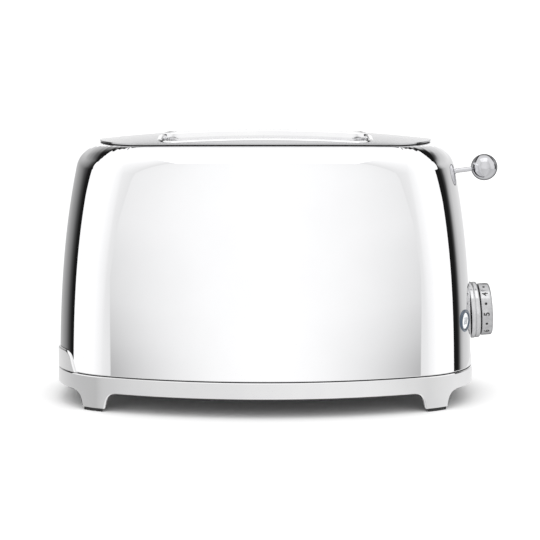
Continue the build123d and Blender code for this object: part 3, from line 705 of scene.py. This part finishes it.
def make_shell(finishes):
    turns = body_turns()
    profiles = [shell_profile(turn) for turn in turns]
    columns = len(turns)
    rows = len(profiles[0])
    shape = new_grid(columns, rows, lambda column, row: at(*profiles[column % columns][row % rows]))
    smooth = shape.copy()
    smooth.normal_update()
    piece = add_piece("shell", shape, finishes["bright_shell"], "housing", ["outer_shell"])
    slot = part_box("lever_slot_liner")
    low = slot[0].z / MM + LEVER_SLOT_RIM
    high = slot[1].z / MM - LEVER_SLOT_RIM
    cutters = [slot_cutter(LEVER_SLOT_HALF, low, high, LEVER_CUT_START, LEVER_CUT_END), tray_cutter()]
    cutters.append(round_cutter(DIAL_ORIGIN, DIAL_AXIS, DIAL_HOLE, HOLE_DEPTH))
    for side in (-1, 1):
        origin, outward = button_place(side)
        cutters.append(round_cutter(origin, outward, BUTTON_HOLE, BUTTON_HOLE_DEPTH))
    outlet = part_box("cable_outlet")
    middle = (outlet[0] + outlet[1]) / 2 / MM
    origin = (middle.x - BODY_X, middle.y, middle.z)
    cutters.append(round_cutter(origin, (0, 1, 0), OUTLET_HOLE, HOLE_DEPTH))
    cut(piece, cutters)
    keep_flow(piece.data, smooth)
    smooth.free()


# Base ring and tray front

def leg_edge():
    """Lower edge of one leg, from its outer flank to its middle: X from the middle, and Z."""
    middle = (RING_BOTTOM + LEG_BOTTOM) / 2
    stops = [(LEG_TOP_HALF, RING_BOTTOM), (LEG_TIP_HALF + 2, RING_BOTTOM)]
    stops += [(LEG_TIP_HALF + 1, middle), (LEG_TIP_HALF, LEG_BOTTOM)]
    points = []
    for step in range(LEG_STEPS + 1):
        way = step / LEG_STEPS
        back = 1 - way
        shares = (back**3, 3 * back**2 * way, 3 * back * way**2, way**3)
        point = [sum(share * stop[axis] for share, stop in zip(shares, stops)) for axis in (0, 1)]
        points.append(tuple(point))
    points += [(LEG_TIP_HALF * (1 - step / 4), LEG_BOTTOM) for step in range(1, 5)]
    return points


def turn_at(reach):
    """Normal angle of the point of the front quarter at a distance X from the middle."""
    return halved(0, math.pi / 2, lambda turn: base_point(turn).x > reach, rounds=50)


def ring_quarter():
    """Normal angle and lower edge of each column of a quarter of the ring, from the end."""
    flank = leg_edge()
    edge = [(LEG_PLACE + reach, low) for reach, low in flank]
    edge += [(LEG_PLACE - reach, low) for reach, low in reversed(flank[:-1])]
    start = turn_at(edge[0][0])
    columns = [(angle, RING_BOTTOM) for angle in spread(0, start, RING_END_STEPS)]
    columns += [(turn_at(reach), low) for reach, low in edge]
    stop = columns[-1][0]
    columns += [(angle, RING_BOTTOM) for angle in spread(stop, math.pi / 2, RING_FRONT_STEPS)[1:]]
    return columns


def make_ring(finishes):
    quarter = ring_quarter()
    turns = all_round([angle for angle, _ in quarter])
    lows = [low for _, low in quarter]
    lows += [RING_BOTTOM] + lows[:0:-1]
    lows += lows
    rim = RING_EDGE
    bend = rim * (1 - math.sqrt(0.5))
    wall = RING_WALL
    section = [(0, 1, -rim), (bend, 1, -bend), (rim, 1, 0), (wall - rim, 1, 0), (wall, 1, -rim)]
    section += [(wall, 0, rim), (wall - rim, 0, 0), (rim, 0, 0), (bend, 0, bend), (0, 0, rim)]
    section += [(0, 0, rim + FLAT_EDGE), (0, 0.5, 0), (0, 1, -rim - FLAT_EDGE)]

    def place(column, row):
        column %= len(turns)
        inset, top, extra = section[row % len(section)]
        low = lows[column]
        spot = base_point(turns[column], inset)
        return at(spot.x, spot.y, low + (RING_TOP - low) * top + extra)

    shape = new_grid(len(turns), len(section), place)
    add_piece("base_band", shape, finishes["bright_trim"], "housing", ["base_ring"])


def make_tray_front(finishes):
    half = tray_outline(0)
    arch = [Vector((-spot.x, spot.y)) for spot in half] + [spot.copy() for spot in reversed(half[:-1])]
    inward = []
    for number, spot in enumerate(arch):
        before = arch[max(number - 1, 0)]
        after = arch[min(number + 1, len(arch) - 1)]
        along = (after - before).normalized()
        inward.append(Vector((along.y, -along.x)))
    rim = TRAY_EDGE
    wall = RING_WALL
    bends = [math.pi / 2 * step / 4 for step in range(5)]
    section = [(rim + 0.2, 0)]
    section += [(rim * (1 - math.sin(bend)), rim * (1 - math.cos(bend))) for bend in bends]
    section += [(0, wall - 0.3), (0.3, wall)]
    rows = len(section) + 1

    def place(column, row):
        spot = arch[column]
        if row == 0:
            shift, depth = rim, 0
        elif row == rows:
            shift, depth = 0.3, wall
        else:
            shift, depth = section[row - 1]
        point = spot + inward[column] * shift
        height = TRAY_BOTTOM if row in (0, rows) else max(point.y, TRAY_BOTTOM)
        turn = halved(0, math.pi / 2, lambda turn: base_point(turn, depth).y < abs(point.x))
        return at(-base_point(turn, depth).x, point.x, height)

    shape = new_grid(len(arch) - 1, rows, place)
    bmesh.ops.holes_fill(shape, edges=[edge for edge in shape.edges if edge.is_boundary], sides=0)
    bmesh.ops.recalc_face_normals(shape, faces=shape.faces)
    add_piece("tray_arch", shape, finishes["bright_trim"], "tray", ["tray_front"])


# Bread slots

def slot_point(turn_share, grow):
    """Point of a rounded rectangle grown by a distance, at a share of the way round."""
    corner = SLOT_CORNER + grow
    length = SLOT_HALF_LENGTH - SLOT_CORNER
    width = SLOT_HALF_WIDTH - SLOT_CORNER
    corners = ((1, 1), (-1, 1), (-1, -1), (1, -1))
    side, share = divmod(turn_share * 4, 1)
    signs = corners[int(side) % 4]
    start = math.pi / 2 * (int(side) % 4)
    if share < 0.5:
        angle = start + math.pi / 2 * share * 2
        x = signs[0] * length + corner * math.cos(angle)
        y = signs[1] * width + corner * math.sin(angle)
        return x, y
    way = share * 2 - 1
    angle = start + math.pi / 2
    after = corners[(int(side) + 1) % 4]
    x = (signs[0] + (after[0] - signs[0]) * way) * length + corner * math.cos(angle)
    y = (signs[1] + (after[1] - signs[1]) * way) * width + corner * math.sin(angle)
    return x, y


def make_slot(side, finishes):
    lip = [(0.0, -2.2), (0.05, -1.0), (0.25, -0.1), (0.7, 0.5), (1.3, 0.76), (1.9, 0.76), (2.5, 0.55)]
    lip += [(2.95, 0.2), (3.2, -0.15), (0.85, -0.3), (0.8, -2.2)]
    chute = [0.8, 0.0]
    rows = len(lip) + len(chute)

    def place(column, row):
        row %= rows
        grow, rise = lip[row] if row < len(lip) else (chute[row - len(lip)], 0)
        x, y = slot_point(column % SLOT_COLUMNS / SLOT_COLUMNS, grow)
        y += side * SLOT_CENTRE
        if row >= len(lip):
            return at(x, y, CHUTE_BOTTOM)
        return at(x, y, crown_z(x, y, CROWN_HEIGHT) + rise)

    shape = new_grid(SLOT_COLUMNS, rows, place)
    name = "front" if side < 0 else "rear"
    node = f"slot_chute_{name}"
    add_piece(f"slot_lip_{name}", shape, finishes["bright_trim"], "housing", [node])


# Lever

def make_ball(finishes):
    neck = math.asin((ARM_RADIUS + 0.6) / BALL_RADIUS)
    angles = spread(neck - math.pi / 2, math.pi / 2, BALL_ROWS)
    ball = [(BALL_RADIUS * math.cos(angle), BALL_RADIUS * math.sin(angle)) for angle in angles]
    profile = [(ARM_RADIUS + 0.1, ball[0][1] + 0.5)] + ball + [(0, BALL_RADIUS)]
    outward = (math.cos(ARM_TILT), 0, math.sin(ARM_TILT))
    shape = spun(profile, turned_frame(BALL_CENTRE, outward, (0, 1, 0)), BALL_STEPS, closed=False)
    bmesh.ops.holes_fill(shape, edges=[edge for edge in shape.edges if edge.is_boundary], sides=0)
    bmesh.ops.recalc_face_normals(shape, faces=shape.faces)
    add_piece("lever_knob", shape, finishes["bright_knob"], "carriage", ["lever_ball"])


# Dial

def dial_frame():
    return turned_frame(DIAL_ORIGIN, DIAL_AXIS, (0, 1, 0))


def make_dial(finishes):
    bezel = [(19.4, 1.0), (20.4, 0.35), (20.95, 0.6), (21.25, 1.2), (21.3, 2.0), (21.25, 3.0)]
    bezel += [(21.0, 3.45), (20.7, 3.6), (20.65, 3.75), (20.85, 3.95), (21.0, 4.4), (21.0, 6.0)]
    bezel += [(20.85, 6.6), (20.5, 6.95), (20.15, 6.95), (20.0, 6.6), (20.0, 5.5), (5.5, 5.5)]
    bezel += [(5.5, 4.5), (18.6, 4.5), (18.6, 1.0)]
    shape = spun(bezel, dial_frame(), DIAL_STEPS)
    add_piece("dial_collar", shape, finishes["bright_collar"], "housing", ["dial_bezel"])
    drum = [(0, 15.75), (6.0, 15.78), (12.0, 15.86), (15.2, 15.95), (15.6, 16.05), (15.9, 16.3)]
    drum += [(16.4, 16.48), (17.6, 16.5), (18.4, 16.42), (19.0, 16.1), (19.38, 15.6), (19.5, 15.0)]
    drum += [(19.5, 8.9), (19.4, 8.35), (19.1, 8.05), (18.6, 8.0), (17.8, 8.0), (17.8, 12.5)]
    drum += [(6.0, 12.5), (6.0, 8.1), (0, 8.1)]
    shape = spun(drum, dial_frame(), DIAL_STEPS, closed=False)
    nodes = ["dial_shell", "dial_face", "dial_marks"]
    add_piece("dial_drum", shape, finishes["bright_dial"], "dial", nodes)
    make_dial_marks(finishes)


def letter_mesh(text, height):
    """One numeral as a thin mesh in millimetres, with its middle across at the origin."""
    letter = bpy.data.curves.new("numeral", "FONT")
    letter.body = text
    letter.size = height * LETTER_SIZE
    letter.align_x = "CENTER"
    letter.extrude = NUMERAL_DEPTH
    letter.offset = NUMERAL_WEIGHT
    letter.resolution_u = 6
    helper = bpy.data.objects.new("numeral", letter)
    bpy.context.collection.objects.link(helper)
    bpy.context.view_layer.update()
    graph = bpy.context.evaluated_depsgraph_get()
    mesh = bpy.data.meshes.new_from_object(helper.evaluated_get(graph))
    bpy.data.objects.remove(helper)
    return mesh


def make_dial_marks(finishes):
    """Numerals and dots let into the rim, the tops of the numerals towards the body."""
    marks = bmesh.new()
    for number in range(1, LAST_NUMERAL + 1):
        turn = NUMERAL_START + NUMERAL_STEP * (number - 1)
        mesh = letter_mesh(str(number), NUMERAL_HEIGHT)
        low = min(vert.co.y for vert in mesh.vertices)
        high = max(vert.co.y for vert in mesh.vertices)
        part = bmesh.new()
        part.from_mesh(mesh)
        bpy.data.meshes.remove(mesh)
        bmesh.ops.remove_doubles(part, verts=part.verts, dist=1e-4)
        scale = NUMERAL_HEIGHT / (high - low)
        for vert in part.verts:
            across = vert.co.x * scale
            along = (vert.co.y - (low + high) / 2) * scale
            wrap(vert, turn, across, NUMERAL_ALONG - along, vert.co.z)
        join(marks, part)
        if number < LAST_NUMERAL:
            dot = bmesh.new()
            bmesh.ops.create_cone(
                dot, cap_ends=True, segments=24, radius1=DOT_RADIUS, radius2=DOT_RADIUS,
                depth=2 * NUMERAL_DEPTH,
            )
            for vert in dot.verts:
                half_way = turn + NUMERAL_STEP / 2
                wrap(vert, half_way, vert.co.x, NUMERAL_ALONG + vert.co.y, vert.co.z)
            join(marks, dot)
    bmesh.ops.recalc_face_normals(marks, faces=marks.faces)
    marks.transform(dial_frame())
    add_piece("dial_numerals", marks, finishes["dark_mark"], "dial")


def wrap(vert, turn, across, along, out):
    """Lays a flat point on the rim: across runs round the rim and along runs out on the axis."""
    radius = DIAL_RADIUS + NUMERAL_PROUD + out * NUMERAL_SQUASH
    angle = turn - across / DIAL_RADIUS
    vert.co = Vector((-radius * math.sin(angle), radius * math.cos(angle), along))


def join(whole, part):
    mesh = bpy.data.meshes.new("part")
    part.to_mesh(mesh)
    part.free()
    whole.from_mesh(mesh)
    bpy.data.meshes.remove(mesh)


# Push buttons

def button_place(side):
    """Middle of one button on the shell's corner, and the way it faces."""
    spot = shell_side(BUTTON_TURN, BUTTON_HEIGHT)
    outward = (math.cos(BUTTON_TURN), side * math.sin(BUTTON_TURN), 0)
    return (spot.x, side * spot.y, BUTTON_HEIGHT), outward


def make_button(side, finishes):
    name = "front" if side < 0 else "rear"
    origin, outward = button_place(side)
    placed = turned_frame(origin, outward, (-outward[1], outward[0], 0))
    ring = [(6.35, -6.5), (6.35, 0.45), (6.5, 0.68), (6.9, 0.78), (7.4, 0.8), (7.85, 0.7)]
    ring += [(8.15, 0.45), (8.25, 0.1), (8.25, -1.2), (7.1, -1.2), (7.0, -6.5)]
    shape = spun(ring, placed, BUTTON_STEPS)
    node = f"button_ring_{name}"
    add_piece(f"lit_ring_{name}", shape, finishes["button_dark"], "housing", [node])
    cap = [(0, 0.5), (3.0, 0.48), (5.0, 0.38), (5.6, 0.25), (5.95, 0.0), (6.05, -0.4), (6.05, -4.5)]
    cap.append((0, -4.5))
    shape = spun(cap, placed, BUTTON_STEPS, closed=False)
    node = f"button_cap_{name}"
    body = f"{name}_button"
    add_piece(f"push_cap_{name}", shape, finishes["button_white"], body, [node])
    make_icon(name, placed, finishes)


def make_icon(name, placed, finishes):
    """Three rising waves, raised on the middle of a button."""
    marks = bmesh.new()
    for place in (-WAVE_GAP, 0, WAVE_GAP):
        wave = bmesh.new()
        bmesh.ops.create_grid(wave, x_segments=2, y_segments=20, size=0.5)
        for vert in wave.verts:
            rise = vert.co.y * WAVE_HEIGHT
            sway = WAVE_SWAY * math.sin(vert.co.y * 2 * math.pi)
            vert.co = Vector((place + sway + vert.co.x * WAVE_WIDTH, rise, WAVE_TOP))
        made = bmesh.ops.extrude_face_region(wave, geom=list(wave.faces))
        verts = [item for item in made["geom"] if isinstance(item, bmesh.types.BMVert)]
        bmesh.ops.translate(wave, verts=verts, vec=(0, 0, -WAVE_DEPTH))
        join(marks, wave)
    bmesh.ops.recalc_face_normals(marks, faces=marks.faces)
    marks.transform(placed)
    add_piece(f"heat_icon_{name}", marks, finishes["button_dark"], f"{name}_button")


# Stage

def make_floor():
    shape = bmesh.new()
    bmesh.ops.create_grid(shape, x_segments=1, y_segments=1, size=FLOOR_HALF)
    mesh = bpy.data.meshes.new("floor")
    shape.to_mesh(mesh)
    shape.free()
    floor = bpy.data.objects.new("floor", mesh)
    bpy.context.collection.objects.link(floor)
    finish, nodes, links, shader = new_finish("pale_floor")
    cloud = pattern(nodes, links, 3.0)
    pale = tinted(nodes, links, cloud, (0.93, 0.93, 0.93), (0.95, 0.95, 0.95))
    links.new(pale, shader.inputs["Base Color"])
    shader.inputs["Roughness"].default_value = FLOOR_ROUGHNESS
    shader.inputs["Specular IOR Level"].default_value = 0.0
    mesh.materials.append(finish)
    floor.visible_glossy = False


def calc(nodes, links, operation, *values):
    """Math node on sockets and plain numbers."""
    node = nodes.new("ShaderNodeMath")
    node.operation = operation
    for slot, value in zip(node.inputs, values):
        if isinstance(value, (int, float)):
            slot.default_value = value
        else:
            links.new(value, slot)
    return node.outputs[0]


def curve(nodes, links, source, stops):
    """Value read from straight runs through the stops of a list."""
    low, high = stops[0][0], stops[-1][0]
    most = max(value for _, value in stops)
    share = calc(nodes, links, "DIVIDE", calc(nodes, links, "SUBTRACT", source, low), high - low)
    node = nodes.new("ShaderNodeFloatCurve")
    line = node.mapping.curves[0]
    spots = [((place - low) / (high - low), value / most) for place, value in stops]
    line.points[0].location = spots[0]
    line.points[1].location = spots[-1]
    for spot in spots[1:-1]:
        line.points.new(*spot)
    for point in line.points:
        point.handle_type = "VECTOR"
    node.mapping.update()
    share = calc(nodes, links, "MINIMUM", calc(nodes, links, "MAXIMUM", share, 0.0), 1.0)
    links.new(share, node.inputs["Value"])
    return calc(nodes, links, "MULTIPLY", node.outputs["Value"], most)


def make_world():
    """White studio with a soft front panel and darker panels behind at each side."""
    world = bpy.data.worlds.new("studio")
    bpy.context.scene.world = world
    world.use_nodes = True
    nodes, links = world.node_tree.nodes, world.node_tree.links
    place = nodes.new("ShaderNodeTexCoord")
    parts = nodes.new("ShaderNodeSeparateXYZ")
    links.new(place.outputs["Generated"], parts.inputs["Vector"])
    x, y, z = (parts.outputs[axis] for axis in "XYZ")

    def do(operation, *values):
        return calc(nodes, links, operation, *values)

    degree = 180 / math.pi
    signed = do("MULTIPLY", do("ARCTAN2", x, do("MULTIPLY", y, -1)), degree)
    around = do("ABSOLUTE", signed)
    lift = do("MULTIPLY", do("ARCSINE", z), degree)

    # Front panel: bright in the middle, darker towards its sides, most of all low down
    edge = curve(nodes, links, lift, FRONT_EDGE)
    share = do("MINIMUM", do("DIVIDE", around, edge), 1.0)
    loss = do("MULTIPLY", do("POWER", share, FRONT_FALL), curve(nodes, links, lift, FRONT_LOSS))
    front = do("SUBTRACT", 1.0, loss)
    beyond = curve(nodes, links, do("SUBTRACT", around, edge), FRONT_BEYOND)
    past_edge = do("GREATER_THAN", around, edge)

    # Dark panels behind, which fade towards the back
    shrink = curve(nodes, links, lift, HIGH_SHRINK)
    fade = do("MULTIPLY", curve(nodes, links, signed, PANEL_FADE), shrink)
    side_edge = do("ADD", curve(nodes, links, signed, PANEL_EDGE), curve(nodes, links, lift, EDGE_SHIFT))
    side_depth = do("DIVIDE", do("SUBTRACT", around, side_edge), fade)
    top = curve(nodes, links, around, PANEL_TOP)
    top_fade = curve(nodes, links, around, PANEL_TOP_FADE)
    top_depth = do("DIVIDE", do("SUBTRACT", top, lift), top_fade)
    depth = do("MINIMUM", side_depth, top_depth)
    on_right = do("GREATER_THAN", signed, 0.0)
    above = do("GREATER_THAN", lift, curve(nodes, links, around, PANEL_FLOOR))
    above = do("MAXIMUM", above, do("LESS_THAN", around, PANEL_FLOOR_START))
    in_panel = do("MULTIPLY", do("GREATER_THAN", depth, 0.0), above)

    def mixed(share, first, second):
        return do("ADD", do("MULTIPLY", first, do("SUBTRACT", 1.0, share)), do("MULTIPLY", second, share))

    left = curve(nodes, links, depth, LEFT_SHADE)
    panel = mixed(on_right, left, curve(nodes, links, depth, RIGHT_SHADE))
    upper = mixed(in_panel, mixed(past_edge, front, beyond), panel)
    lower = curve(nodes, links, signed, LOW_RING)
    low = do("LESS_THAN", lift, LOW_LIFT)
    shade = do("MULTIPLY", mixed(low, upper, lower), GLOSS_LIGHT)
    seen = nodes.new("ShaderNodeLightPath")
    shade = mixed(seen.outputs["Is Diffuse Ray"], shade, DIFFUSE_LIGHT)
    shade = mixed(seen.outputs["Is Camera Ray"], shade, SEEN_LIGHT)
    links.new(shade, nodes["Background"].inputs["Color"])


def make_lamp():
    data = bpy.data.lights.new("top_light", "AREA")
    data.shape = "RECTANGLE"
    data.size = LAMP_WIDTH
    data.size_y = LAMP_DEPTH
    data.energy = LAMP_POWER
    lamp = bpy.data.objects.new("top_light", data)
    lamp.location = LAMP_PLACE
    lamp.rotation_euler = (LAMP_TILT, 0, 0)
    bpy.context.collection.objects.link(lamp)


def place_camera():
    data = bpy.data.cameras.new("photo_camera")
    data.lens = LENS_PIXELS / FRAME_PIXELS * SENSOR
    data.sensor_width = SENSOR
    data.shift_y = CAMERA_SHIFT
    camera = bpy.data.objects.new("photo_camera", data)
    camera.location = at(CAMERA_ACROSS, -CAMERA_BACK, CAMERA_HEIGHT)
    camera.rotation_euler = (math.pi / 2 - CAMERA_TILT, 0, 0)
    bpy.context.collection.objects.link(camera)
    bpy.context.scene.camera = camera


def dress_nodes(finishes):
    """Gives every carried node the finish of its slot in the record, and the arm the ball's."""
    slots = {part["node"]: part["material_slot"] for part in frame["record"]["subparts"]}
    for name, node in frame["nodes"].items():
        node.data.materials.clear()
        finish = "bright_knob" if name == "lever_arm" else slots[name]
        node.data.materials.append(finishes[finish])


finishes = make_finishes()
dress_nodes(finishes)
make_shell(finishes)
make_ring(finishes)
make_tray_front(finishes)
for side in (-1, 1):
    make_slot(side, finishes)
    make_button(side, finishes)
make_ball(finishes)
make_dial(finishes)
make_floor()
make_world()
make_lamp()
place_camera()
bpy.context.scene.view_settings.view_transform = "Standard"
